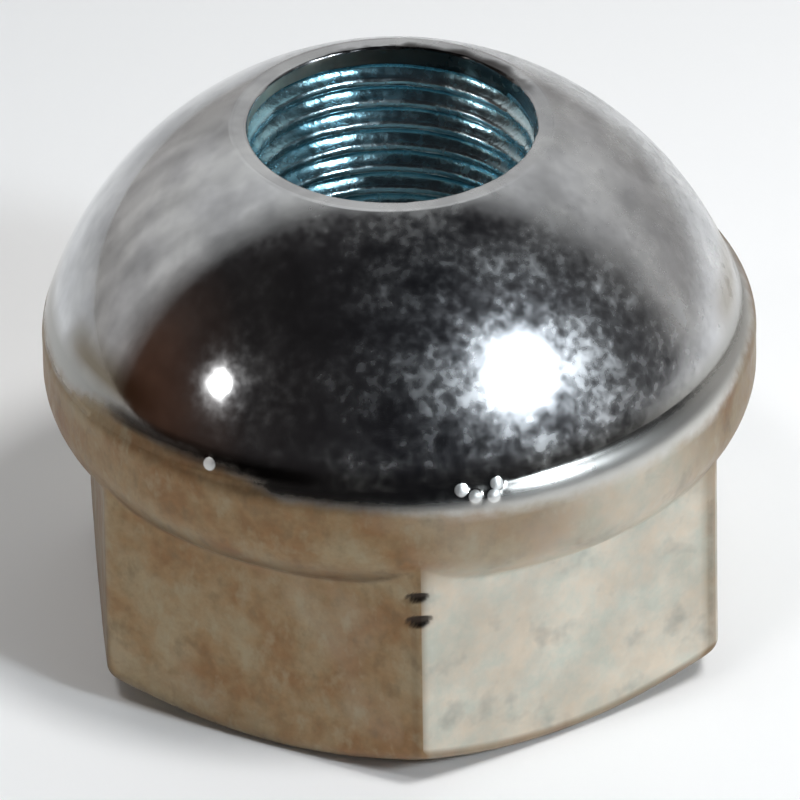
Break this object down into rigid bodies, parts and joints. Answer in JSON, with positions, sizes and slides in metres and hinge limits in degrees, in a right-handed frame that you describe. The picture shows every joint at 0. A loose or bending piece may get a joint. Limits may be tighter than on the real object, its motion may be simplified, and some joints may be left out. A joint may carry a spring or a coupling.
{
  "type": "cap nut",
  "caption": "Ball-seat cap nut: a chamfered wrench hexagon under a rounded collar and a ball-shaped seat, threaded right through for a wheel stud.",
  "frame": {"origin": "centre of the hexagon's flat end, on the thread's axis", "axes": "+Z along the thread's axis from the hexagon to the ball seat, +Y through a corner of the hexagon"},
  "size_m": [0.0444, 0.0444, 0.035],
  "materials": {
    "zinc_plate": "bright zinc plate on steel: near mirror and cloudy on the ball seat, satin and blotchy on the collar and the hexagon, blue tint in the thread"
  },
  "bodies": {
    "root": {"cap_nut": "zinc_plate"}
  },
  "joints": []
}
